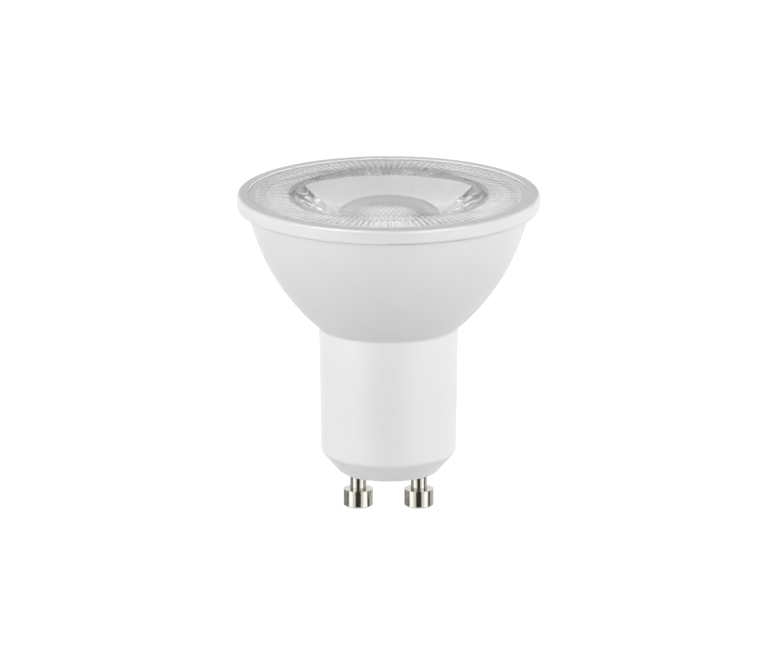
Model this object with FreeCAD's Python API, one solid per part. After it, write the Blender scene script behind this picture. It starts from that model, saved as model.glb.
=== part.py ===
import FreeCAD, Part
import math
import os

os.makedirs("parts", exist_ok=True)

# All sizes are in millimetres. Z runs up the lamp's axis, from the ends of the pins to the lens,
# and X runs through the two pins. The origin is on the axis, level with the ends of the pins.

# Contact pins: turned brass with a mushroom head, riveted into the foot of the housing
pin_spacing = 10.0
pin_head_diameter = 4.9
pin_head_height = 2.95
pin_head_chamfer = 0.3
pin_shank_diameter = 2.7
pin_shank_exposed = 3.35
pin_collar_diameter = 3.8
pin_collar_height = 0.6
pin_tail_diameter = 2.2
pin_tail_height = 2.4
pin_bore_depth = 2.0
pin_fit = 0.05

# Housing: foot, neck, bowl and rim moulded as one piece
base_radius = 8.15
base_floor = 2.0
foot_height = 3.35
neck_bottom_radius = 11.1
neck_top_radius = 11.45
neck_height = 21.15
neck_wall = 1.4
bowl_height = 19.95
bowl_top_radius = 23.2
bowl_arc_radius = 35.5
bowl_wall = 1.5
rim_radius = 24.9
rim_height = 2.55
rim_face_width = 1.75
rim_edge_round = 0.5
foot_round = 1.0
base_edge_round = 0.4
crease_round = 0.5

# Lens: flat fluted plate, conical recess with a dome in it, and a light collector below
lens_recess = 0.2
lens_side_gap = 0.1
lens_thickness = 2.0
flange_thickness = 1.0
plate_gap = 0.2
funnel_radius = 16.2
dome_radius = 8.25
dome_foot_depth = 3.3
dome_height = 2.35
trough_width = 0.2
collector_depth = 11.3
collector_top_radius = 16.6
collector_foot_radius = 8.9
collector_bulge = 0.7
pocket_foot_radius = 6.9
pocket_top_radius = 6.5
pocket_depth = 4.8
pocket_crown = 0.8
flute_count = 120
flute_start_gap = 0.3
flute_margin = 1.05
flute_depth = 0.15
flute_land = 0.5

# Heat sink: pressed aluminium cup, wedged in the bowl with its flat face up
sink_fit = 0.05
sink_plate = 1.5
sink_wall = 1.2
sink_depth = 6.0

# LED board, its LEDs and its two screws
led_board_margin = 2.15
led_board_thickness = 1.5
led_gap = 0.3
led_length = 3.5
led_width = 2.8
led_height = 0.7
led_count = 6
led_ring_radius = 4.2
phosphor_radius = 1.15
phosphor_depth = 0.3
phosphor_flare = 0.15
screw_radius = 1.0
screw_length = 4.2
screw_head_radius = 1.9
screw_head_height = 0.8
screw_head_bevel = 0.3
screw_slot_width = 0.5
screw_slot_depth = 0.45
screw_margin = 0.4
hole_clearance = 0.1

# Driver board, upright in the neck between two moulded guides
driver_board_offset = 2.4
driver_board_thickness = 1.2
driver_board_height = 19.5
driver_board_rise = 4.0
board_edge_gap = 0.3
guide_overlap = 1.2
guide_rib = 1.0
guide_gap = 0.1
guide_height = 13.0

# Driver parts on the front of the board, with wire leads through it
part_rise = 5.0
part_standoff = 0.3
part_gap = 0.6
lead_radius = 0.3
lead_bend = 0.8
lead_drop = 1.4
lead_stub = 0.8
capacitor_radius = 3.15
capacitor_length = 11.0
capacitor_groove = 0.3
capacitor_groove_height = 1.6
capacitor_top_bevel = 0.3
capacitor_lead_pitch = 2.5
inductor_radius = 3.5
inductor_height = 8.0
inductor_flange = 1.1
inductor_core_radius = 1.6
inductor_lead_pitch = 5.0
winding_inset = 0.4
winding_gap = 0.05
film_width = 6.5
film_depth = 4.6
film_height = 4.4
film_bevel = 0.4
film_lead_pitch = 5.0
fuse_radius = 1.2
fuse_length = 5.0
fuse_lead_reach = 0.9
fuse_end_round = 0.5

# Driver parts soldered flat on the back of the board
chip_body_height = 1.4
chip_stand = 0.1
bridge_width = 4.7
bridge_length = 3.9
bridge_lead_pitch = 2.5
chip_width = 4.9
chip_length = 3.9
chip_lead_pitch = 1.27
chip_leads_a_side = 4
diode_width = 2.6
diode_length = 4.3
diode_tab = 1.4
gull_width = 0.5
gull_reach = 1.0
gull_thickness = 0.25
resistor_length = 3.2
resistor_width = 1.6
resistor_height = 0.6
resistor_count = 3
back_part_gap = 0.8

# Wires inside the lamp
wire_radius = 0.5
wire_bend = 1.1
wire_fit = 0.05
pin_wire_inset = 2.2
led_wire_pitch = 8.0
led_wire_inset = 1.6
led_wire_standoff = 1.6
led_wire_side_gap = 1.8
led_wire_stub = 0.8
led_wire_margin = 1.4

# Levels up the axis
base_level = pin_head_height + pin_shank_exposed
floor_level = base_level + base_floor
neck_level = base_level + foot_height
bowl_level = neck_level + neck_height
rim_level = bowl_level + bowl_height
top_level = rim_level + rim_height
lens_level = top_level - lens_recess
ledge_level = lens_level - flange_thickness
plate_level = lens_level - lens_thickness
collector_level = lens_level - collector_depth
led_level = collector_level - led_gap
led_board_level = led_level - led_height
sink_level = led_board_level - led_board_thickness
sink_plate_level = sink_level - sink_plate
board_level = floor_level + driver_board_rise
board_top_level = board_level + driver_board_height
parts_level = board_level + part_rise

# Bowl curve: one arc from the top of the neck to the underside of the rim
chord_r = bowl_top_radius - neck_top_radius
chord_half = math.hypot(chord_r, bowl_height) / 2
chord_to_centre = math.sqrt(bowl_arc_radius**2 - chord_half**2)
bowl_centre_r = (neck_top_radius + bowl_top_radius) / 2 - chord_to_centre * bowl_height / (2 * chord_half)
bowl_centre_z = (bowl_level + rim_level) / 2 + chord_to_centre * chord_r / (2 * chord_half)


def bowl_radius_at(height, inset):
    """Radius of the bowl at a height, on a surface that lies inset from its outer face."""
    return bowl_centre_r + math.sqrt((bowl_arc_radius - inset)**2 - (height - bowl_centre_z)**2)


def bowl_height_at(radius, inset):
    """Height at which that surface has a given radius."""
    return bowl_centre_z - math.sqrt((bowl_arc_radius - inset)**2 - (radius - bowl_centre_r)**2)


# Radii and places that follow from the sizes above
seat_radius = rim_radius - rim_face_width
lens_radius = seat_radius - lens_side_gap
neck_inner_bottom = neck_bottom_radius - neck_wall
neck_inner_top = neck_top_radius - neck_wall
board_back = driver_board_offset + driver_board_thickness
board_half_width = math.sqrt(neck_inner_bottom**2 - board_back**2) - board_edge_gap
pin_places = (-pin_spacing / 2, pin_spacing / 2)
pin_tail_level = floor_level + pin_collar_height + pin_tail_height
capacitor_x = capacitor_radius + part_gap / 2
capacitor_y = driver_board_offset - part_standoff - capacitor_radius
inductor_x = -inductor_radius - part_gap / 2
inductor_y = driver_board_offset - part_standoff - inductor_radius
film_level = parts_level + inductor_height + part_gap
fuse_y = driver_board_offset - part_standoff - fuse_radius
fuse_level = parts_level + capacitor_length + part_gap + fuse_radius
fuse_lead_x = fuse_length / 2 + fuse_lead_reach
lead_level = parts_level - lead_drop
row_half_height = max(bridge_length, chip_length, diode_length) / 2 + gull_reach
row_level = lead_level + lead_radius + back_part_gap + row_half_height
row_left = -(bridge_width + chip_width + diode_width) / 2 - back_part_gap
led_wire_level = board_top_level - led_wire_inset
led_wire_turn_level = sink_plate_level - led_wire_margin
led_wire_y = board_back + led_wire_standoff
sink_outer_inset = bowl_wall + sink_fit
sink_inner_inset = sink_outer_inset + sink_wall
led_wire_room = bowl_radius_at(led_wire_turn_level, sink_inner_inset)
led_wire_reach = led_wire_room - led_wire_side_gap - wire_radius
led_wire_x = math.sqrt(led_wire_reach**2 - led_wire_y**2)
led_board_radius = bowl_radius_at(sink_level, sink_outer_inset) - led_board_margin
screw_end_level = led_board_level - screw_length
screw_circle_radius = bowl_radius_at(screw_end_level, sink_inner_inset) - screw_radius - screw_margin
plate_radius = bowl_radius_at(plate_level, bowl_wall) - plate_gap
flute_inner_radius = collector_top_radius + flute_start_gap
flute_outer_radius = plate_radius - flute_margin

ORIGIN = FreeCAD.Vector(0, 0, 0)
UP = FreeCAD.Vector(0, 0, 1)
BACK = FreeCAD.Vector(0, 1, 0)


def at(radius, height):
    """Point of a half outline: radius from the axis, and height."""
    return FreeCAD.Vector(radius, 0, height)


def straight(points):
    """Edges that join points by straight lines."""
    return [Part.LineSegment(a, b).toShape() for a, b in zip(points, points[1:])]


def bowl_arc(inset, low, high):
    """Arc of the bowl's curve between two heights, inset from its outer face."""
    middle = (low + high) / 2
    points = [at(bowl_radius_at(height, inset), height) for height in (low, middle, high)]
    return Part.Arc(*points).toShape()


def turned(edges):
    """Solid turned about the axis from a closed half outline."""
    face = Part.Face(Part.Wire(Part.sortEdges(edges)[0]))
    solid = face.revolve(ORIGIN, UP, 360)
    if solid.Volume < 0:
        solid.reverse()
    return solid


def turned_from(points):
    """Solid turned from an outline of straight lines."""
    return turned(straight(points + points[:1]))


def rings(shape, radius, height):
    """Circular edges about the axis with this radius at this height."""
    found = []
    for edge in shape.Edges:
        if isinstance(edge.Curve, Part.Circle):
            same_radius = abs(edge.Curve.Radius - radius) < 1e-4
            same_height = abs(edge.Curve.Center.z - height) < 1e-4
            if same_radius and same_height:
                found.append(edge)
    return found


def block(x_low, x_high, y_low, y_high, z_low, z_high):
    """Box between two corners."""
    corner = FreeCAD.Vector(x_low, y_low, z_low)
    return Part.makeBox(x_high - x_low, y_high - y_low, z_high - z_low, corner)


def post(x, y, z_low, z_high, radius):
    """Upright cylinder."""
    return Part.makeCylinder(radius, z_high - z_low, FreeCAD.Vector(x, y, z_low), UP)


def bent_rod(points, radius, bend):
    """Round wire along straight runs, with a tangent arc of radius bend at each corner."""
    edges = []
    start = points[0]
    for before, corner, after in zip(points, points[1:], points[2:]):
        into = (corner - before).normalize()
        out = (after - corner).normalize()
        turn = into.getAngle(out)
        setback = bend * math.tan(turn / 2)
        first = corner - into * setback
        last = corner + out * setback
        inward = (out - into).normalize()
        middle = corner + inward * (bend / math.cos(turn / 2) - bend)
        edges.append(Part.LineSegment(start, first).toShape())
        edges.append(Part.Arc(first, middle, last).toShape())
        start = last
    edges.append(Part.LineSegment(start, points[-1]).toShape())
    heading = points[1] - points[0]
    section = Part.Wire(Part.Circle(points[0], heading, radius).toShape())
    return Part.Wire(edges).makePipeShell([section], True, False)


def make_housing():
    """White moulding: bevelled foot, tapered neck, bowl and rim, hollow from the lens seat down."""
    outline = straight([
        at(bowl_top_radius, rim_level),
        at(rim_radius, rim_level),
        at(rim_radius, top_level),
        at(0, top_level),
        at(0, base_level),
        at(base_radius, base_level),
        at(neck_bottom_radius, neck_level),
        at(neck_top_radius, bowl_level),
    ])
    outline.append(bowl_arc(0, bowl_level, rim_level))
    body = turned(outline)
    rim_edges = rings(body, rim_radius, rim_level) + rings(body, rim_radius, top_level)
    body = body.makeFillet(rim_edge_round, rim_edges)
    body = body.makeFillet(foot_round, rings(body, neck_bottom_radius, neck_level))
    body = body.makeFillet(base_edge_round, rings(body, base_radius, base_level))
    body = body.makeFillet(crease_round, rings(body, neck_top_radius, bowl_level))
    body = body.cut(make_cavity())
    for x in pin_places:
        body = body.cut(post(x, 0, base_level, floor_level, pin_shank_diameter / 2 + pin_fit))
    return body


def make_cavity():
    """Space inside the housing, less the two guides that hold the driver board."""
    foot_slope = (neck_bottom_radius - base_radius) / foot_height
    foot_inset = neck_wall * math.hypot(1, foot_slope)
    foot_inner = base_radius + foot_slope * base_floor - foot_inset
    foot_inner_level = floor_level + (neck_inner_bottom - foot_inner) / foot_slope
    neck_end_level = bowl_height_at(neck_inner_top, bowl_wall)
    outline = straight([
        at(bowl_radius_at(ledge_level, bowl_wall), ledge_level),
        at(seat_radius, ledge_level),
        at(seat_radius, top_level),
        at(0, top_level),
        at(0, floor_level),
        at(foot_inner, floor_level),
        at(neck_inner_bottom, foot_inner_level),
        at(neck_inner_top, neck_end_level),
    ])
    outline.append(bowl_arc(bowl_wall, neck_end_level, ledge_level))
    cavity = turned(outline)
    for side in (-1, 1):
        inner_x = side * (board_half_width - guide_overlap)
        outer_x = side * neck_top_radius
        x_low = min(inner_x, outer_x)
        x_high = max(inner_x, outer_x)
        front = driver_board_offset - guide_gap
        back = board_back + guide_gap
        stop = block(x_low, x_high, front - guide_rib, back + guide_rib, floor_level, board_level)
        front_rib = block(x_low, x_high, front - guide_rib, front, board_level, board_level + guide_height)
        back_rib = block(x_low, x_high, back, back + guide_rib, board_level, board_level + guide_height)
        cavity = cavity.cut(stop.fuse([front_rib, back_rib]))
    return cavity


def make_lens():
    """Clear moulding: flange, plate with flutes below, conical recess, dome, collector and LED pocket."""
    dome_foot = lens_level - dome_foot_depth
    trough_radius = dome_radius + trough_width
    pocket_level = collector_level + pocket_depth
    outline = straight([
        at(dome_radius, dome_foot),
        at(trough_radius, dome_foot),
        at(funnel_radius, lens_level),
        at(lens_radius, lens_level),
        at(lens_radius, ledge_level),
        at(plate_radius, ledge_level),
        at(plate_radius, plate_level),
        at(collector_top_radius, plate_level),
    ])
    side_r = collector_top_radius - collector_foot_radius
    side_z = plate_level - collector_level
    side_length = math.hypot(side_r, side_z)
    side_middle = at(
        (collector_top_radius + collector_foot_radius) / 2 + collector_bulge * side_z / side_length,
        (plate_level + collector_level) / 2 - collector_bulge * side_r / side_length,
    )
    collector_top = at(collector_top_radius, plate_level)
    collector_foot = at(collector_foot_radius, collector_level)
    outline.append(Part.Arc(collector_top, side_middle, collector_foot).toShape())
    outline += straight([
        collector_foot,
        at(pocket_foot_radius, collector_level),
        at(pocket_top_radius, pocket_level),
    ])
    crown_radius = (pocket_top_radius**2 + pocket_crown**2) / (2 * pocket_crown)
    half_way = pocket_top_radius / 2
    half_drop = math.sqrt(crown_radius**2 - half_way**2) - (crown_radius - pocket_crown)
    pocket_tip = at(0, pocket_level - pocket_crown)
    crown = Part.Arc(at(pocket_top_radius, pocket_level), at(half_way, pocket_level - half_drop), pocket_tip)
    outline.append(crown.toShape())
    dome_tip = at(0, dome_foot + dome_height)
    outline += straight([pocket_tip, dome_tip])
    dome = Part.Ellipse(at(dome_radius, dome_foot), dome_tip, at(0, dome_foot))
    outline.append(Part.ArcOfEllipse(dome, 0, math.pi / 2).toShape())
    return turned(outline).cut(make_flutes())


def make_flutes():
    """Vee grooves that run outwards under the plate, each as wide as its pitch less a flat land."""
    half_angle = math.pi / flute_count

    def section(radius):
        half_width = radius * math.tan(half_angle) - flute_land / 2
        corners = [
            FreeCAD.Vector(radius, -half_width, plate_level),
            FreeCAD.Vector(radius, 0, plate_level + flute_depth),
            FreeCAD.Vector(radius, half_width, plate_level),
        ]
        return Part.makePolygon(corners + corners[:1])

    flute = Part.makeLoft([section(flute_inner_radius), section(flute_outer_radius)], True, True)
    flutes = []
    for number in range(flute_count):
        copy = flute.copy()
        copy.rotate(ORIGIN, UP, 360 * number / flute_count)
        flutes.append(copy)
    return Part.makeCompound(flutes)


def screw_places():
    """The two screws of the LED board, in front of and behind the axis."""
    return [(0, -screw_circle_radius), (0, screw_circle_radius)]


def led_wire_places():
    """The two holes where the LED wires come up through the heat sink and the LED board."""
    return [(-led_wire_x, led_wire_y), (led_wire_x, led_wire_y)]


def with_board_holes(solid, low, high):
    """Holes for the screws and the LED wires through a plate between two levels."""
    for x, y in screw_places():
        solid = solid.cut(post(x, y, low, high, screw_radius + hole_clearance))
    for x, y in led_wire_places():
        solid = solid.cut(post(x, y, low, high, wire_radius + hole_clearance))
    return solid


def make_heat_sink():
    """Aluminium cup with a flat top for the LED board and a skirt that follows the bowl."""
    low = sink_level - sink_depth
    outline = [
        bowl_arc(sink_outer_inset, low, sink_level),
        bowl_arc(sink_inner_inset, low, sink_plate_level),
    ]
    outline += straight([
        at(bowl_radius_at(sink_level, sink_outer_inset), sink_level),
        at(0, sink_level),
        at(0, sink_plate_level),
        at(bowl_radius_at(sink_plate_level, sink_inner_inset), sink_plate_level),
    ])
    outline += straight([
        at(bowl_radius_at(low, sink_inner_inset), low),
        at(bowl_radius_at(low, sink_outer_inset), low),
    ])
    return with_board_holes(turned(outline), sink_plate_level, sink_level)


def make_led_board():
    """Round metal-core circuit board."""
    disc = post(0, 0, sink_level, led_board_level, led_board_radius)
    return with_board_holes(disc, sink_level, led_board_level)


def around_leds(solid):
    """Copies of a solid at each place of the LED ring."""
    copies = []
    for number in range(led_count):
        copy = solid.copy()
        copy.rotate(ORIGIN, UP, 360 * number / led_count)
        copies.append(copy)
    return Part.makeCompound(copies)


def make_phosphor():
    """Fill of one LED's cup, wider at the top."""
    foot = FreeCAD.Vector(led_ring_radius, 0, led_level - phosphor_depth)
    return Part.makeCone(phosphor_radius - phosphor_flare, phosphor_radius, phosphor_depth, foot, UP)


def make_led_packages():
    """Surface-mount LED bodies, each with a cup in its top."""
    low = led_ring_radius - led_width / 2
    body = block(low, low + led_width, -led_length / 2, led_length / 2, led_board_level, led_level)
    return around_leds(body.cut(make_phosphor()))


def make_led_phosphors():
    """Yellow fills of the LED cups."""
    return around_leds(make_phosphor())


def make_board_screws():
    """Slotted low-head screws that clamp the LED board."""
    head_top = led_board_level + screw_head_height
    screw = turned_from([
        at(0, screw_end_level),
        at(screw_radius, screw_end_level),
        at(screw_radius, led_board_level),
        at(screw_head_radius, led_board_level),
        at(screw_head_radius, head_top - screw_head_bevel),
        at(screw_head_radius - screw_head_bevel, head_top),
        at(0, head_top),
    ])
    screws = []
    for x, y in screw_places():
        copy = screw.copy()
        copy.translate(FreeCAD.Vector(x, y, 0))
        slot = block(
            x - screw_slot_width / 2, x + screw_slot_width / 2,
            y - screw_head_radius, y + screw_head_radius,
            head_top - screw_slot_depth, head_top,
        )
        screws.append(copy.cut(slot))
    return Part.makeCompound(screws)


def hanging_leads(x, y, pitch):
    """Two leads that leave the foot of an upright part and bend back through the driver board."""
    leads = []
    for side in (-1, 1):
        lead_x = x + side * pitch / 2
        leads.append([
            FreeCAD.Vector(lead_x, y, parts_level),
            FreeCAD.Vector(lead_x, y, lead_level),
            FreeCAD.Vector(lead_x, board_back + lead_stub, lead_level),
        ])
    return leads


def lead_routes():
    """Routes of all wire leads of the driver's parts. The last point of each is behind the board."""
    routes = hanging_leads(capacitor_x, capacitor_y, capacitor_lead_pitch)
    routes += hanging_leads(inductor_x, inductor_y, inductor_lead_pitch)
    film_z = film_level + film_height / 2
    for side in (-1, 1):
        film_x = inductor_x + side * film_lead_pitch / 2
        routes.append([
            FreeCAD.Vector(film_x, driver_board_offset - part_standoff, film_z),
            FreeCAD.Vector(film_x, board_back + lead_stub, film_z),
        ])
        routes.append([
            FreeCAD.Vector(capacitor_x + side * fuse_length / 2, fuse_y, fuse_level),
            FreeCAD.Vector(capacitor_x + side * fuse_lead_x, fuse_y, fuse_level),
            FreeCAD.Vector(capacitor_x + side * fuse_lead_x, board_back + lead_stub, fuse_level),
        ])
    return routes


def make_component_leads():
    """Tinned copper leads of the capacitor, the inductor, the film capacitor and the fuse resistor."""
    return Part.makeCompound([bent_rod(route, lead_radius, lead_bend) for route in lead_routes()])


def make_driver_board():
    """Glass-fibre circuit board with a hole for each lead."""
    board = block(
        -board_half_width, board_half_width,
        driver_board_offset, board_back,
        board_level, board_top_level,
    )
    for route in lead_routes():
        foot = FreeCAD.Vector(route[-1].x, driver_board_offset, route[-1].z)
        hole = Part.makeCylinder(lead_radius + hole_clearance, driver_board_thickness, foot, BACK)
        board = board.cut(hole)
    return board


def make_smoothing_capacitor():
    """Electrolytic can with a crimped groove above its leads and a bevelled top edge."""
    groove_foot = parts_level + capacitor_groove_height - capacitor_groove
    groove_top = parts_level + capacitor_groove_height + capacitor_groove
    top = parts_level + capacitor_length
    outline = straight([
        at(capacitor_radius, groove_top),
        at(capacitor_radius, top - capacitor_top_bevel),
        at(capacitor_radius - capacitor_top_bevel, top),
        at(0, top),
        at(0, parts_level),
        at(capacitor_radius, parts_level),
        at(capacitor_radius, groove_foot),
    ])
    groove = Part.Arc(
        at(capacitor_radius, groove_foot),
        at(capacitor_radius - capacitor_groove, parts_level + capacitor_groove_height),
        at(capacitor_radius, groove_top),
    )
    outline.append(groove.toShape())
    can = turned(outline)
    can.translate(FreeCAD.Vector(capacitor_x, capacitor_y, 0))
    return can


def make_inductor_core():
    """Ferrite drum: two flanges on a narrower core."""
    low_flange = parts_level + inductor_flange
    top = parts_level + inductor_height
    core = turned_from([
        at(0, parts_level),
        at(inductor_radius, parts_level),
        at(inductor_radius, low_flange),
        at(inductor_core_radius, low_flange),
        at(inductor_core_radius, top - inductor_flange),
        at(inductor_radius, top - inductor_flange),
        at(inductor_radius, top),
        at(0, top),
    ])
    core.translate(FreeCAD.Vector(inductor_x, inductor_y, 0))
    return core


def make_inductor_winding():
    """Enamelled copper winding between the flanges of the drum."""
    low = parts_level + inductor_flange + winding_gap
    high = parts_level + inductor_height - inductor_flange - winding_gap
    winding = turned_from([
        at(inductor_core_radius + winding_gap, low),
        at(inductor_radius - winding_inset, low),
        at(inductor_radius - winding_inset, high),
        at(inductor_core_radius + winding_gap, high),
    ])
    winding.translate(FreeCAD.Vector(inductor_x, inductor_y, 0))
    return winding


def make_film_capacitor():
    """Box film capacitor, with its leads straight into the board."""
    back = driver_board_offset - part_standoff
    body = block(
        inductor_x - film_width / 2, inductor_x + film_width / 2,
        back - film_depth, back,
        film_level, film_level + film_height,
    )
    front_edges = [edge for edge in body.Edges if edge.BoundBox.YMin < back - film_depth / 2]
    return body.makeChamfer(film_bevel, front_edges)


def make_fuse_resistor():
    """Axial fusible resistor with rounded ends."""
    foot = FreeCAD.Vector(capacitor_x - fuse_length / 2, fuse_y, fuse_level)
    body = Part.makeCylinder(fuse_radius, fuse_length, foot, FreeCAD.Vector(1, 0, 0))
    ends = [edge for edge in body.Edges if isinstance(edge.Curve, Part.Circle)]
    return body.makeFillet(fuse_end_round, ends)


def flat_package(x, z, width, length, tab_width, tab_places):
    """Moulded package on the back of the board, with folded leads along its upper and lower sides."""
    foot = board_back + chip_stand
    knee_y = foot + chip_body_height / 2
    knee_top = knee_y + gull_thickness
    toe_top = board_back + gull_thickness
    solids = []
    for side in (-1, 1):
        edge_z = z + side * length / 2
        knee_z = edge_z + side * gull_reach / 2
        toe_z = edge_z + side * gull_reach
        leg_z = knee_z - side * gull_thickness
        for place in tab_places:
            left = x + place - tab_width / 2
            right = left + tab_width
            solids.append(block(left, right, knee_y, knee_top, *sorted((edge_z, knee_z))))
            solids.append(block(left, right, board_back, knee_top, *sorted((leg_z, knee_z))))
            solids.append(block(left, right, board_back, toe_top, *sorted((knee_z, toe_z))))
    body = block(
        x - width / 2, x + width / 2,
        foot, foot + chip_body_height,
        z - length / 2, z + length / 2,
    )
    return body.fuse(solids).removeSplitter()


def make_bridge_rectifier():
    """Four-lead rectifier, first in the row on the board's back."""
    x = row_left + bridge_width / 2
    places = [-bridge_lead_pitch / 2, bridge_lead_pitch / 2]
    return flat_package(x, row_level, bridge_width, bridge_length, gull_width, places)


def make_driver_chip():
    """Eight-lead controller chip, in the middle of the row."""
    x = row_left + bridge_width + back_part_gap + chip_width / 2
    middle = (chip_leads_a_side - 1) / 2
    places = [(number - middle) * chip_lead_pitch for number in range(chip_leads_a_side)]
    return flat_package(x, row_level, chip_width, chip_length, gull_width, places)


def make_freewheel_diode():
    """Two-lead diode, last in the row."""
    x = -row_left - diode_width / 2
    return flat_package(x, row_level, diode_width, diode_length, diode_tab, [0])


def make_chip_resistors():
    """Flat resistors side by side above the row."""
    low = row_level + row_half_height + back_part_gap
    middle = (resistor_count - 1) / 2
    resistors = []
    for number in range(resistor_count):
        left = (number - middle) * (resistor_length + back_part_gap) - resistor_length / 2
        resistors.append(block(
            left, left + resistor_length,
            board_back, board_back + resistor_height,
            low, low + resistor_width,
        ))
    return Part.makeCompound(resistors)


def make_contact_pin(x):
    """Turned pin: mushroom head, shank through the foot, rivet collar, and a bored tail for its wire."""
    head = pin_head_diameter / 2
    shank = pin_shank_diameter / 2
    collar = pin_collar_diameter / 2
    tail = pin_tail_diameter / 2
    bore = wire_radius + wire_fit
    collar_top = floor_level + pin_collar_height
    pin = turned_from([
        at(0, 0),
        at(head - pin_head_chamfer, 0),
        at(head, pin_head_chamfer),
        at(head, pin_head_height),
        at(shank, pin_head_height),
        at(shank, floor_level),
        at(collar, floor_level),
        at(collar, collar_top),
        at(tail, collar_top),
        at(tail, pin_tail_level),
        at(bore, pin_tail_level),
        at(bore, pin_tail_level - pin_bore_depth),
        at(0, pin_tail_level - pin_bore_depth),
    ])
    pin.translate(FreeCAD.Vector(x, 0, 0))
    return pin


def make_pin_wire(x):
    """Wire from the bore of a pin up to the front of the driver board."""
    turn_level = board_level + pin_wire_inset
    route = [
        FreeCAD.Vector(x, 0, pin_tail_level - pin_bore_depth),
        FreeCAD.Vector(x, 0, turn_level),
        FreeCAD.Vector(x, driver_board_offset, turn_level),
    ]
    return bent_rod(route, wire_radius, wire_bend)


def make_led_wire(side):
    """Wire from the back of the driver board up through the heat sink to the LED board."""
    board_x = side * led_wire_pitch / 2
    hole_x = side * led_wire_x
    route = [
        FreeCAD.Vector(board_x, board_back, led_wire_level),
        FreeCAD.Vector(board_x, led_wire_y, led_wire_level),
        FreeCAD.Vector(board_x, led_wire_y, board_top_level + led_wire_margin),
        FreeCAD.Vector(hole_x, led_wire_y, led_wire_turn_level),
        FreeCAD.Vector(hole_x, led_wire_y, led_board_level + led_wire_stub),
    ]
    return bent_rod(route, wire_radius, wire_bend)


nodes = {
    "housing": make_housing(),
    "lens": make_lens(),
    "heat_sink": make_heat_sink(),
    "led_board": make_led_board(),
    "led_packages": make_led_packages(),
    "led_phosphors": make_led_phosphors(),
    "board_screws": make_board_screws(),
    "driver_board": make_driver_board(),
    "component_leads": make_component_leads(),
    "smoothing_capacitor": make_smoothing_capacitor(),
    "inductor_core": make_inductor_core(),
    "inductor_winding": make_inductor_winding(),
    "film_capacitor": make_film_capacitor(),
    "fuse_resistor": make_fuse_resistor(),
    "bridge_rectifier": make_bridge_rectifier(),
    "driver_chip": make_driver_chip(),
    "freewheel_diode": make_freewheel_diode(),
    "chip_resistors": make_chip_resistors(),
    "left_contact_pin": make_contact_pin(-pin_spacing / 2),
    "right_contact_pin": make_contact_pin(pin_spacing / 2),
    "left_pin_wire": make_pin_wire(-pin_spacing / 2),
    "right_pin_wire": make_pin_wire(pin_spacing / 2),
    "positive_led_wire": make_led_wire(-1),
    "negative_led_wire": make_led_wire(1),
}

for name, shape in nodes.items():
    shape.exportStep("parts/" + name + ".step")
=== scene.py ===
import math

import bpy
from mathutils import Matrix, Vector


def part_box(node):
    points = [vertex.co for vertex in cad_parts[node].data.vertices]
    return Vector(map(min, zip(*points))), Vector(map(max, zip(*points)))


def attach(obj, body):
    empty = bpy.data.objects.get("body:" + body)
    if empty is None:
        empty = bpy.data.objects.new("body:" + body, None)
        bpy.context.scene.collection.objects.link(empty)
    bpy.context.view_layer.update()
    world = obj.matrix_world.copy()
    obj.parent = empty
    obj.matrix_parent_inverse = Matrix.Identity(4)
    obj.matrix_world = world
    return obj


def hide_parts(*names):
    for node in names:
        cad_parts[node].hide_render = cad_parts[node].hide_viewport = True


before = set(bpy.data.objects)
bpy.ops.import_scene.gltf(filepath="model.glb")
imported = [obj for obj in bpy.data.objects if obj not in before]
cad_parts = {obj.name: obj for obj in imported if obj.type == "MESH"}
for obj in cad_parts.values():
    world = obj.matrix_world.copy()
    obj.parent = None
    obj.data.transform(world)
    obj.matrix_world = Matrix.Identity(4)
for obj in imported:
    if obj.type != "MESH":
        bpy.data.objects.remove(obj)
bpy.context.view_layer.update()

# Housing
# One white PBT injection moulding: foot, neck, bowl and rim. Its mould was finely spark-eroded, the
# pins are riveted into its foot, and the lens is bonded to a ledge inside its rim.
MM = 0.001


def linear(code):
    """Linear colour of an sRGB hex code."""
    parts = [int(code[place:place + 2], 16) / 255 for place in (1, 3, 5)]
    return [part / 12.92 if part <= 0.04045 else ((part + 0.055) / 1.055) ** 2.4 for part in parts] + [1.0]


def add(tree, kind, settings=None, inputs=None):
    """Adds a node with its settings. Each input is a fixed value or the socket that feeds it."""
    node = tree.nodes.new("ShaderNode" + kind)
    for name, value in (settings or {}).items():
        setattr(node, name, value)
    for name, value in (inputs or {}).items():
        if isinstance(value, bpy.types.NodeSocket):
            tree.links.new(value, node.inputs[name])
        else:
            node.inputs[name].default_value = value
    return node


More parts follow.
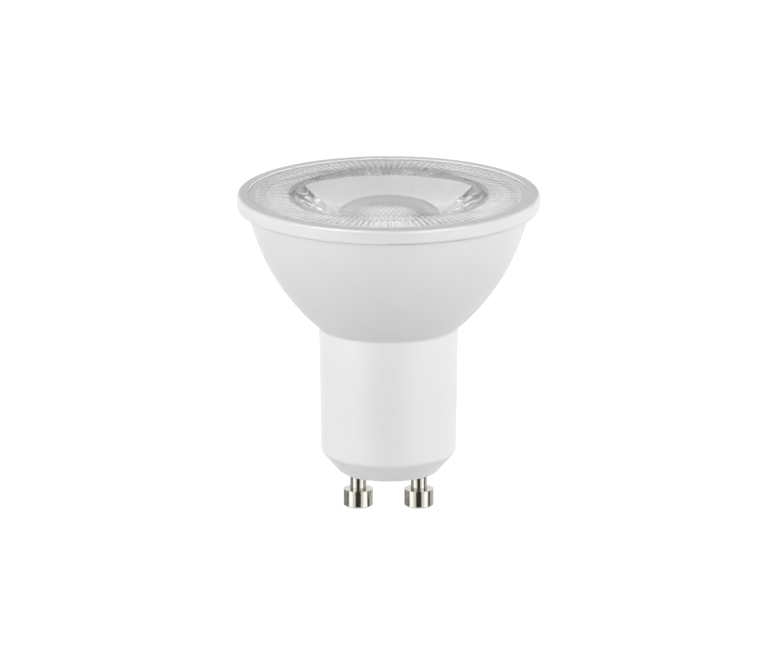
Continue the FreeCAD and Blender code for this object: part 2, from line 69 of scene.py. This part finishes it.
def finish(name, tones, patch, roughness, grain, relief, relief_from=None, tone_from=None, **shader_values):
    """Material with two tones and two roughness values in soft patches, and a fine relief.

    Patch and grain are widths in millimetres, and relief is a height in millimetres. The relief
    comes from the grain, or from relief_from, which returns a height of 0 to 1. The tones follow
    the patches, or tone_from, which returns the share of the second tone.
    """
    material = bpy.data.materials.new(name)
    material.use_nodes = True
    tree = material.node_tree
    tree.nodes.clear()
    place = add(tree, "TexCoord").outputs["Object"]
    patches = add(tree, "TexNoise", {}, {"Vector": place, "Scale": 1 / (patch * MM), "Detail": 3.0})
    drift = patches.outputs["Fac"]
    second = tone_from(tree, place) if tone_from else drift
    tone_inputs = {"Factor": second, 6: linear(tones[0]), 7: linear(tones[1])}
    tone = add(tree, "Mix", {"data_type": "RGBA"}, tone_inputs)
    gloss = add(tree, "MapRange", {}, {"Value": drift, "To Min": roughness[0], "To Max": roughness[1]})
    if relief_from:
        height = relief_from(tree, place)
    else:
        specks = add(tree, "TexNoise", {}, {"Vector": place, "Scale": 1 / (grain * MM), "Detail": 2.0})
        height = specks.outputs["Fac"]
    bump = add(tree, "Bump", {}, {"Height": height, "Distance": relief * MM})
    shader = add(tree, "BsdfPrincipled", {}, {
        "Base Color": tone.outputs[2],
        "Roughness": gloss.outputs[0],
        "Normal": bump.outputs[0],
    })
    for socket, value in shader_values.items():
        shader.inputs[socket.replace("_", " ")].default_value = value
    add(tree, "OutputMaterial", {}, {"Surface": shader.outputs[0]})
    return material


def dress(material, *names):
    """Gives a CAD node its material."""
    for name in names:
        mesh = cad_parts[name].data
        mesh.materials.clear()
        mesh.materials.append(material)


# The spark-eroded mould leaves it satin, with no sparkle, and its tone drifts a very little where the
# melt cooled slower.
white_pbt = finish("white_pbt", ("#F0F0F0", "#EBEBEB"), 9.0, (0.36, 0.44), 0.3, 0.002, IOR=1.55)
dress(white_pbt, "housing")

# Contact pins
# Two brass pins, turned on a lathe, nickel plated and riveted into the foot. Their mushroom heads lock
# behind the slots of the lampholder.
turning_pitch = 0.12


def wave_scale(pitch):
    """Scale at which a wave repeats every pitch millimetres: at scale 1 it repeats every pi / 10."""
    return math.pi / 10 / (pitch * MM)


def turning_rings(tree, place):
    """Rings about the upright axis, one for each turn of the lathe."""
    inputs = {"Vector": place, "Scale": wave_scale(turning_pitch)}
    return add(tree, "TexWave", {"bands_direction": "Z"}, inputs).outputs["Fac"]


# The bright plate mirrors the room in upright bands, and the lathe's feed leaves faint rings, drawn
# coarser than they are so that they show.
bright_nickel = finish(
    "bright_nickel", ("#D6D3CA", "#CDCAC0"), 1.5, (0.14, 0.2), 0.1, 0.0006, turning_rings, Metallic=1.0,
)
dress(bright_nickel, "left_contact_pin", "right_contact_pin")

# Driver board
# A green glass-epoxy circuit board that slides into the housing's guides. It is pressed from woven
# glass cloth in resin, under a printed solder mask.
cloth_pitch = 0.5


def glass_cloth(tree, place):
    """Square weave of the glass cloth: the higher of two crossing sets of threads."""
    scale = wave_scale(cloth_pitch)
    across = add(tree, "TexWave", {"bands_direction": "X"}, {"Vector": place, "Scale": scale})
    along = add(tree, "TexWave", {"bands_direction": "Z"}, {"Vector": place, "Scale": scale})
    weave = add(tree, "Math", {"operation": "MAXIMUM"}, {0: across.outputs["Fac"], 1: along.outputs["Fac"]})
    return weave.outputs[0]


# The mask is glossy, and the threads below it show as a faint square grid.
green_mask = finish("green_mask", ("#1F6B3A", "#1A5C33"), 4.0, (0.22, 0.32), 0.5, 0.008, glass_cloth)
dress(green_mask, "driver_board")

# Driver parts on the front of the board
# A sleeved electrolytic can, a ferrite drum wound with enamelled copper, a box film capacitor and
# a lacquered fuse resistor, all on tinned copper leads that are soldered at the back.
copper_wire = 0.3


def copper_turns(tree, place):
    """Turns of the winding, side by side up the drum."""
    inputs = {"Vector": place, "Scale": wave_scale(copper_wire)}
    return add(tree, "TexWave", {"bands_direction": "Z"}, inputs).outputs["Fac"]


# Shrunk PET sleeving is dark, smooth and half glossy.
dress(finish("pet_sleeve", ("#2A2D33", "#23262B"), 2.0, (0.25, 0.35), 0.3, 0.004), "smoothing_capacitor")
# Sintered ferrite is a dull dark grey with a fine grain.
dress(finish("ferrite", ("#3A3A3C", "#2E2E30"), 0.8, (0.55, 0.75), 0.15, 0.02), "inductor_core")
# Clear enamel keeps the copper bright, and each turn catches its own line of light.
enamelled_copper = finish(
    "enamelled_copper", ("#B8642E", "#A35424"), 1.0, (0.2, 0.3), 0.3, 0.1, copper_turns, Metallic=1.0,
)
dress(enamelled_copper, "inductor_winding")
# The moulded box has a soft shine.
dress(finish("epoxy_box", ("#D8A62C", "#C99722"), 2.0, (0.3, 0.4), 0.3, 0.005), "film_capacitor")
# Dipped lacquer dries with a slightly uneven skin.
dress(finish("resistor_lacquer", ("#6FA08A", "#5F917B"), 1.0, (0.3, 0.45), 0.2, 0.02), "fuse_resistor")
# Hot-dipped tin is a pale, slightly dull mirror.
tinned_copper = finish("tinned_copper", ("#C9CBCB", "#B7B9B9"), 0.6, (0.25, 0.4), 0.1, 0.004, Metallic=1.0)
dress(tinned_copper, "component_leads")

# Driver parts on the back of the board
# A rectifier, a controller chip, a diode and three chip resistors, soldered flat on the board. Their
# bodies are moulded in black epoxy filled with silica.
# The filler makes the epoxy matt and slightly speckled.
chip_epoxy = finish("chip_epoxy", ("#26272A", "#1D1E20"), 0.7, (0.5, 0.65), 0.08, 0.006)
dress(chip_epoxy, "bridge_rectifier", "driver_chip", "freewheel_diode", "chip_resistors")

# Wires
# Stranded copper in PVC insulation: two white ones from the pins to the board, and a red and a black
# one up to the LED board, soldered at their ends.
for name, tones, nodes in (
    ("white_pvc", ("#E9E7E0", "#DFDCD3"), ("left_pin_wire", "right_pin_wire")),
    ("red_pvc", ("#B02A24", "#9C221D"), ("positive_led_wire",)),
    ("black_pvc", ("#222222", "#1A1A1A"), ("negative_led_wire",)),
):
    # Extruded PVC is smooth and half glossy.
    dress(finish(name, tones, 1.5, (0.35, 0.45), 0.2, 0.004), *nodes)

# Heat sink
# A cup pressed from aluminium sheet, coated white and wedged in the bowl. It carries the LED board and
# leads its heat to the housing.
rolling_pitch = 0.35


def rolling_lines(tree, place):
    """Fine uneven lines along X from the rolling mill."""
    settings = {"bands_direction": "Y"}
    inputs = {"Vector": place, "Scale": wave_scale(rolling_pitch), "Distortion": 3.0, "Detail": 2.0}
    return add(tree, "TexWave", settings, inputs).outputs["Fac"]


# The coat is a neutral satin white, and the rolling lines of the sheet show through it faintly.
coated_aluminium = finish(
    "coated_aluminium", ("#F7F7F8", "#F1F1F2"), 3.0, (0.32, 0.45), 0.3, 0.003, rolling_lines,
)
dress(coated_aluminium, "heat_sink")

# LED board, LEDs and screws
# A round metal-core board under white solder mask carries six LEDs: ivory plastic cups filled with
# yellow phosphor silicone. Two zinc-plated steel screws clamp it to the heat sink.
# Printed white mask is even, with a soft shine.
dress(finish("white_mask", ("#F1F1F0", "#EAEAE9"), 3.0, (0.3, 0.4), 0.3, 0.006), "led_board")
# The moulded cups are a warm white and almost matt.
dress(finish("ivory_cup", ("#F0E9D6", "#E7DFC9"), 1.0, (0.4, 0.5), 0.1, 0.004), "led_packages")
# Phosphor in clear silicone is a strong yellow under a wet gloss.
dress(finish("phosphor_gel", ("#E9C23A", "#DDB22C"), 0.4, (0.15, 0.3), 0.06, 0.01), "led_phosphors")
# Bright zinc is a cool, slightly cloudy mirror.
zinc_plate = finish("zinc_plate", ("#BFC3C6", "#AEB2B6"), 0.8, (0.25, 0.4), 0.1, 0.004, Metallic=1.0)
dress(zinc_plate, "board_screws")

# Lens
# One clear polycarbonate moulding, bonded to a ledge inside the rim: a flange, a plate with flutes
# below, a conical recess with a beaded dome, and a faceted collector with a pocket over the LEDs.
# The collector and the recess come from polished steel, and the dome's beads from etched steel.
lens_low, lens_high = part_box("lens")
lens_top = lens_high.z
lens_foot = lens_low.z
flange_radius = lens_high.x
flange_level = lens_top - 0.98 * MM
ring_rise = 0.15 * MM
plate_level = lens_top - 2.0 * MM
plate_radius = 21.24 * MM
flute_count = 120
flute_depth = 0.15 * MM
flute_inner_radius = 16.9 * MM
flute_outer_radius = 20.19 * MM
flute_end = 0.05 * MM
flute_width = 1 / 3
collector_radius = 16.6 * MM
collector_foot_radius = 8.9 * MM
collector_bulge = 0.7 * MM
collector_facets = 24
collector_rows = 5
collector_start = 0.02
collector_end = 0.995
collector_slack = 0.5 * MM
facet_border = 0.49
pocket_foot_radius = 6.9 * MM
pocket_top_radius = 6.5 * MM
pocket_level = lens_foot + 4.8 * MM
pocket_crown = 0.8 * MM
pocket_bulge = 0.25 * MM
pocket_rings = 8
funnel_radius = 16.2 * MM
funnel_lip = 0.3 * MM
scallop_radius = 14.8 * MM
scallop_depth = 0.12 * MM
scallop_rings = 6
scallop_foot = lens_top - 0.7 * MM
trough_radius = 8.45 * MM
dome_radius = 8.25 * MM
dome_height = 2.35 * MM
dome_foot = lens_top - 3.3 * MM
bead_pitch = 0.87 * MM
bead_height = 0.12 * MM
groove_shade_start = 0.2
groove_shade_full = 0.55
steps_a_flute = 6
dome_rings = 60
smooth_angle = math.radians(25)
satin_radius = 21.0 * MM
satin_slope = 0.1
nearly = 0.01 * MM


def at(radius, height):
    """Point of a half outline in the plane of X and Z."""
    return Vector((radius, 0, height))


def bulged(start, end, bulge, count):
    """Points after start, up to end, on a curve that stands bulge to the right of the straight line."""
    along = end - start
    side = Vector((along.z, 0, -along.x)).normalized()
    bend = (start + end) / 2 + side * (2 * bulge)
    shares = [number / count for number in range(1, count + 1)]
    return [start * (1 - t) ** 2 + bend * (2 * t * (1 - t)) + end * t ** 2 for t in shares]


def spun(name, outline, steps):
    """Closed solid of revolution: one vertex is drawn along a half outline, which is then spun."""
    bpy.ops.object.select_all(action="DESELECT")
    bpy.ops.mesh.primitive_plane_add(size=MM)
    piece = bpy.context.object
    piece.name = name
    bpy.ops.object.mode_set(mode="EDIT")
    bpy.ops.mesh.merge(type="CENTER")
    bpy.ops.transform.translate(value=outline[0])
    for before, after in zip(outline, outline[1:]):
        bpy.ops.mesh.extrude_vertices_move(TRANSFORM_OT_translate={"value": after - before})
    bpy.ops.mesh.select_all(action="SELECT")
    bpy.ops.mesh.spin(steps=steps, angle=math.tau, center=(0, 0, 0), axis=(0, 0, 1))
    bpy.ops.mesh.select_all(action="SELECT")
    bpy.ops.mesh.remove_doubles(threshold=0.001 * MM)
    bpy.ops.mesh.normals_make_consistent(inside=False)
    bpy.ops.object.mode_set(mode="OBJECT")
    return piece


dome_turns = [math.pi / 2 * number / dome_rings for number in range(dome_rings + 1)]
lens_outline = [at(dome_radius * math.sin(t), dome_foot + dome_height * math.cos(t)) for t in dome_turns]
trough = at(trough_radius, dome_foot)
funnel_edge = at(funnel_radius, lens_top + ring_rise)
scallop_start = (scallop_radius - trough_radius) / (funnel_radius - trough_radius)
lens_outline.append(trough)
for number in range(scallop_rings + 1):
    share = scallop_start + (1 - scallop_start) * number / scallop_rings
    lens_outline.append(trough.lerp(funnel_edge, share))
lens_outline += [
    at(funnel_radius + funnel_lip, lens_top + ring_rise),
    at(flange_radius, lens_top),
    at(flange_radius, flange_level),
    at(plate_radius, flange_level),
    at(plate_radius, plate_level),
    at(flute_outer_radius + flute_end, plate_level),
    at(flute_outer_radius, plate_level),
    at(flute_inner_radius, plate_level),
    at(flute_inner_radius - flute_end, plate_level),
    at(collector_radius, plate_level),
]
collector_foot = at(collector_foot_radius, lens_foot)
lens_outline += bulged(lens_outline[-1], collector_foot, -collector_bulge, collector_rows)
lens_outline += [at(pocket_foot_radius, lens_foot), at(pocket_top_radius, pocket_level)]
pocket_tip = at(0, pocket_level - pocket_crown)
lens_outline += bulged(lens_outline[-1], pocket_tip, -pocket_bulge, pocket_rings)

lens = spun("clear_lens", lens_outline, flute_count * steps_a_flute)


def flute_share(point):
    """Share of a vee groove's depth at a point: 0 on the lands and 1 in the bottoms."""
    turn = math.atan2(point.y, point.x) / math.tau * flute_count
    return max(0.0, 1 - abs(turn % 1 - 0.5) / (flute_width / 2))


def facet_turn(point):
    """Place across a facet of the collector, from 0 at one side to 1 at the other."""
    return math.atan2(point.y, point.x) / math.tau * collector_facets % 1


def bead_sink(point):
    """Depth below the tops of the beads, which lie in a honeycomb round the dome's tip."""
    row_pitch = bead_pitch * math.sqrt(3)
    nearest = []
    for shift in (0.0, 0.5):
        across = (point.x / bead_pitch + shift + 0.5) % 1 - 0.5
        along = (point.y / row_pitch + shift + 0.5) % 1 - 0.5
        nearest.append(math.hypot(across * bead_pitch, along * row_pitch))
    return bead_height * (min(nearest) / (bead_pitch / math.sqrt(3))) ** 2


def on_collector(point):
    """True on the outer face of the collector cone."""
    wall_share = (point.z - lens_foot) / (plate_level - lens_foot)
    wall_radius = collector_foot_radius + (collector_radius - collector_foot_radius) * wall_share
    on_height = collector_start < wall_share < collector_end
    return on_height and math.hypot(point.x, point.y) > wall_radius - collector_slack


def on_dome(point):
    """True on the beaded face above the dome's foot."""
    return point.z > dome_foot - nearly and math.hypot(point.x, point.y) < dome_radius + nearly


for vertex in lens.data.vertices:
    point = vertex.co
    reach = math.hypot(point.x, point.y)
    among_flutes = flute_inner_radius - nearly < reach < flute_outer_radius + nearly
    if among_flutes and abs(point.z - plate_level) < nearly:
        point.z += flute_depth * flute_share(point)
    elif on_collector(point):
        past_middle = (facet_turn(point) - 0.5) * math.tau / collector_facets
        inward = math.cos(math.pi / collector_facets) / math.cos(past_middle)
        point.x *= inward
        point.y *= inward
    elif scallop_radius < reach < funnel_radius + nearly and point.z > scallop_foot:
        turn = math.atan2(point.y, point.x) * flute_count
        fade = (reach - scallop_radius) / (funnel_radius - scallop_radius)
        point.z -= scallop_depth * fade * (0.5 - 0.5 * math.cos(turn))
    elif on_dome(point) and point.z > dome_foot + nearly:
        rise = (point.z - dome_foot) / dome_height ** 2
        outward = Vector((point.x / dome_radius ** 2, point.y / dome_radius ** 2, rise))
        vertex.co = point - outward.normalized() * bead_sink(point)

bpy.ops.object.shade_smooth_by_angle(angle=smooth_angle)
sharp = lens.data.attributes["sharp_edge"].data
for edge in lens.data.edges:
    ends = [lens.data.vertices[corner].co for corner in edge.vertices]
    if all(on_dome(end) for end in ends):
        sharp[edge.index].value = False
    elif all(on_collector(end) for end in ends):
        between_rows = abs(ends[0].z - ends[1].z) < nearly
        between_facets = all(abs(facet_turn(end) - 0.5) > facet_border for end in ends)
        if between_rows or between_facets:
            sharp[edge.index].value = True


def bead_groove_shade(tree, place):
    """Share of painted shade: 0 on the beads and 1 in the corners between them, in the same honeycomb as
    the beads themselves.
    """
    cell = (1 / bead_pitch, 1 / (bead_pitch * math.sqrt(3)), 0)
    cells = add(tree, "VectorMath", {"operation": "MULTIPLY"}, {0: place, 1: cell})
    nearest = []
    for shift in (0.0, 0.5):
        moved = add(tree, "VectorMath", {"operation": "ADD"}, {0: cells.outputs[0], 1: (shift, shift, 0)})
        inputs = {0: moved.outputs[0], 1: (0.5, 0.5, 0.5), 2: (-0.5, -0.5, -0.5)}
        wrapped = add(tree, "VectorMath", {"operation": "WRAP"}, inputs)
        inputs = {0: wrapped.outputs[0], 1: (1, math.sqrt(3), 0)}
        flat = add(tree, "VectorMath", {"operation": "MULTIPLY"}, inputs)
        away = add(tree, "VectorMath", {"operation": "LENGTH"}, {0: flat.outputs[0]})
        nearest.append(away.outputs["Value"])
    least = add(tree, "Math", {"operation": "MINIMUM"}, {0: nearest[0], 1: nearest[1]})
    inputs = {"Value": least.outputs[0], "From Min": groove_shade_start, "From Max": groove_shade_full}
    return add(tree, "MapRange", {}, inputs).outputs[0]


def rim_shade_towards_flange(tree, place):
    """Share of the painted rim shade: 0 up to the funnel's edge and 1 at the flange."""
    flat = add(tree, "VectorMath", {"operation": "MULTIPLY"}, {0: place, 1: (1, 1, 0)})
    reach = add(tree, "VectorMath", {"operation": "LENGTH"}, {0: flat.outputs[0]})
    inputs = {"Value": reach.outputs["Value"], "From Min": funnel_radius, "From Max": plate_radius}
    return add(tree, "MapRange", {}, inputs).outputs[0]


# Polished steel leaves it like glass, so it shows the white wall below and slivers of the room. The
# plate is thin, and towards the flange its colour is darkened a little as painted shade from the rim.
clear_polycarbonate = finish(
    "clear_polycarbonate", ("#FFFFFF", "#F3F3F3"), 8.0, (0.0, 0.02), 2.0, 0.0002,
    tone_from=rim_shade_towards_flange, IOR=1.585, Transmission_Weight=1.0,
)
# The upright edge of the flange and plate is left as the mould was cut, and is frosted.
satin_edge = finish(
    "satin_edge", ("#FFFFFF", "#FBFCFC"), 8.0, (0.45, 0.55), 0.2, 0.004, IOR=1.585, Transmission_Weight=1.0,
)
# The etched beads blur what lies below, and the grooves between them carry painted shade, darker in a fine
# net.
beaded_polycarbonate = finish(
    "beaded_polycarbonate", ("#FFFFFF", "#BCBCBC"), 8.0, (0.29, 0.32), 0.2, 0.0002,
    tone_from=bead_groove_shade, IOR=1.585, Transmission_Weight=1.0,
)
for material in (clear_polycarbonate, satin_edge, beaded_polycarbonate):
    lens.data.materials.append(material)
for face in lens.data.polygons:
    reach = math.hypot(face.center.x, face.center.y)
    if abs(face.normal.z) < satin_slope and reach > satin_radius and face.center.z > plate_level:
        face.material_index = 1
    elif on_dome(face.center):
        face.material_index = 2
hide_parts("lens")
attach(lens, "root")

# Studio
# A white floor in a white room. Two softboxes light the sides more than the front, and two edge lights
# show only as shine on the rim's edge. Dark and bright cards stand out of the picture, and give the
# pins their upright bands and the lens its slivers.
horizon_level = 4.2
zenith_level = 0.05
fill_power = 3.0
lens_level = 3.9
backdrop_level = 1.1
backdrop_top = 0.6
ceiling_level = 0.1
skirting_level = 0.5
skirting_top = 0.28
backdrop_foot = 0.42
card_distance = 1.6
light_distance = 0.8
light_width = 0.7
light_height = 0.9
floor_size = 8.0
floor_own_light = 0.7
floor_white = 1.4


def seen_directly(tree):
    """1 for rays of the camera and of metal, and 0 for glass and the light that falls on surfaces."""
    path = add(tree, "LightPath")
    mirrored = add(tree, "Math", {"operation": "SUBTRACT", "use_clamp": True}, {
        0: path.outputs["Is Glossy Ray"],
        1: path.outputs["Is Transmission Ray"],
    })
    inputs = {0: path.outputs["Is Camera Ray"], 1: mirrored.outputs[0]}
    return add(tree, "Math", {"operation": "MAXIMUM"}, inputs).outputs[0]


room = bpy.data.worlds.new("white_room")
bpy.context.scene.world = room
room.use_nodes = True
room.node_tree.nodes.clear()
# Surfaces get most of their light from low down, and little from overhead.
direction = add(room.node_tree, "TexCoord").outputs["Generated"]
upward = add(room.node_tree, "SeparateXYZ", {}, {"Vector": direction}).outputs["Z"]
lowness = add(room.node_tree, "Math", {"operation": "SUBTRACT", "use_clamp": True}, {0: 1.0, 1: upward})
steep = add(room.node_tree, "Math", {"operation": "POWER"}, {0: lowness.outputs[0], 1: fill_power})
fill = add(room.node_tree, "MapRange", {}, {
    "Value": steep.outputs[0], "To Min": zenith_level, "To Max": horizon_level,
})
# Light that has passed the lens and gone from wall to wall inside the housing.
path = add(room.node_tree, "LightPath")
inside = add(room.node_tree, "Math", {"operation": "MULTIPLY"}, {
    0: path.outputs["Is Transmission Ray"],
    1: path.outputs["Diffuse Depth"],
})
deep = add(room.node_tree, "Math", {"operation": "GREATER_THAN"}, {0: inside.outputs[0], 1: 1.5})
around = add(room.node_tree, "MapRange", {}, {
    "Value": deep.outputs[0], "To Min": fill.outputs[0], "To Max": lens_level,
})
# What shows straight through the lens: grey low down, white above that, and dark overhead.
unlit = add(room.node_tree, "Math", {"operation": "LESS_THAN"}, {0: path.outputs["Diffuse Depth"], 1: 0.5})
clear = add(room.node_tree, "Math", {"operation": "MULTIPLY"}, {
    0: path.outputs["Is Transmission Ray"],
    1: unlit.outputs[0],
})
skirting = add(room.node_tree, "MapRange", {}, {
    "Value": upward, "From Min": skirting_top, "From Max": backdrop_foot,
    "To Min": skirting_level, "To Max": backdrop_level,
})
behind = add(room.node_tree, "MapRange", {}, {
    "Value": upward, "From Min": backdrop_top, "To Min": skirting.outputs[0], "To Max": ceiling_level,
})
through = add(room.node_tree, "MapRange", {}, {
    "Value": clear.outputs[0], "To Min": around.outputs[0], "To Max": behind.outputs[0],
})
level = add(room.node_tree, "MapRange", {}, {
    "Value": seen_directly(room.node_tree), "To Min": through.outputs[0],
})
backdrop = add(room.node_tree, "Background", {}, {"Color": linear("#FFFFFF"), "Strength": level.outputs[0]})
add(room.node_tree, "OutputWorld", {}, {"Surface": backdrop.outputs[0]})

bpy.ops.object.select_all(action="DESELECT")
bpy.ops.mesh.primitive_plane_add(size=floor_size)
floor = bpy.context.object
floor.name = "floor"
floor.visible_glossy = False
# Matt white paint that takes the lamp's shadow and is nearly white to the camera.
floor_paint = bpy.data.materials.new("white_floor")
floor_paint.use_nodes = True
tree = floor_paint.node_tree
tree.nodes.clear()
share = add(tree, "Math", {"operation": "MULTIPLY"}, {0: seen_directly(tree), 1: floor_own_light})
paint = add(tree, "BsdfDiffuse", {}, {"Color": linear("#CACACA")})
glow = add(tree, "Emission", {}, {"Color": linear("#FFFFFF"), "Strength": floor_white})
surface = add(tree, "MixShader", {}, {0: share.outputs[0], 1: paint.outputs[0], 2: glow.outputs[0]})
add(tree, "OutputMaterial", {}, {"Surface": surface.outputs[0]})
floor.data.materials.append(floor_paint)


def round_the_lamp(azimuth, distance, height):
    """Place on a circle round the lamp. Azimuth 0 is where the camera stands, and 90 is on the right."""
    turn = math.radians(azimuth)
    return Vector((math.sin(turn) * distance, -math.cos(turn) * distance, height))


for name, azimuth, half_angle, foot, top, tone in (
    ("front_card", -1, 22, -1.6, 2.5, 0.04),
    ("left_flag", -38, 4, 0.3, 2.2, 0.02),
    ("left_side_flag", -77, 1.5, 0.3, 2.2, 0.02),
    ("right_flag", 37, 4, 0.3, 2.2, 0.02),
    ("right_side_flag", 73, 1.5, 0.3, 2.2, 0.02),
    ("left_bright_card", -60, 15, -1.6, 1.6, 1.6),
    ("left_card", -92, 13, -1.6, 1.6, 0.2),
    ("left_rear_card", -128, 20, -1.6, 1.6, 0.3),
    ("right_bright_card", 57, 14, -1.6, 1.6, 1.6),
    ("right_card", 88, 13, -1.6, 1.6, 0.12),
    ("right_rear_card", 125, 20, -1.6, 1.6, 0.65),
):
    bpy.ops.object.select_all(action="DESELECT")
    bpy.ops.mesh.primitive_plane_add(size=1.0)
    card = bpy.context.object
    card.name = name
    card.scale = (2 * card_distance * math.tan(math.radians(half_angle)), top - foot, 1.0)
    card.rotation_euler = (math.radians(90), 0, math.radians(azimuth))
    card.location = round_the_lamp(azimuth, card_distance, (foot + top) / 2)
    card.visible_camera = False
    card.visible_diffuse = False
    # An even tone to metal and glass, which light on its way to a surface passes through.
    paint = bpy.data.materials.new(name + "_paint")
    paint.use_nodes = True
    paint.node_tree.nodes.clear()
    glow = add(paint.node_tree, "Emission", {}, {"Strength": tone})
    past = add(paint.node_tree, "BsdfTransparent")
    lit = add(paint.node_tree, "LightPath").outputs["Diffuse Depth"]
    surface = add(paint.node_tree, "MixShader", {}, {0: lit, 1: glow.outputs[0], 2: past.outputs[0]})
    add(paint.node_tree, "OutputMaterial", {}, {"Surface": surface.outputs[0]})
    card.data.materials.append(paint)

for name, azimuth, height, power, edge_only in (
    ("left_softbox", -100, 0.05, 3.2, False),
    ("right_softbox", 100, 0.05, 2.9, False),
    ("left_edge_light", -48, 0.8, 14.0, True),
    ("right_edge_light", 48, 0.8, 9.0, True),
):
    place = round_the_lamp(azimuth, light_distance, height)
    bpy.ops.object.light_add(type="AREA", location=place)
    softbox = bpy.context.object
    softbox.name = name
    softbox.rotation_euler = (-place).to_track_quat("-Z", "Y").to_euler()
    softbox.data.shape = "RECTANGLE"
    softbox.data.size = light_width
    softbox.data.size_y = light_height
    softbox.data.energy = power
    softbox.visible_camera = False
    softbox.visible_diffuse = not edge_only
    softbox.visible_glossy = edge_only
    softbox.visible_transmission = not edge_only

# Camera
# It stands a long way off with a long lens, a little above the rim, and looks along the line that
# crosses the pins.
camera_distance = 2.4
camera_elevation = math.radians(14.95)
aim = Vector((0.23 * MM, 0, 29.29 * MM))
away = Vector((0, -math.cos(camera_elevation), math.sin(camera_elevation)))
bpy.ops.object.camera_add(location=aim + away * camera_distance)
camera = bpy.context.object
camera.rotation_euler = (-away).to_track_quat("-Z", "Y").to_euler()
camera.data.sensor_width = 36.0
camera.data.lens = 672.8
bpy.context.scene.camera = camera
# Light that is mirrored more than five times inside the lens counts as lost, which darkens the edges
# of the recess.
bpy.context.scene.cycles.max_bounces = 24
bpy.context.scene.cycles.diffuse_bounces = 12
bpy.context.scene.cycles.glossy_bounces = 5
bpy.context.scene.cycles.transmission_bounces = 24
bpy.context.scene.view_settings.view_transform = "Standard"
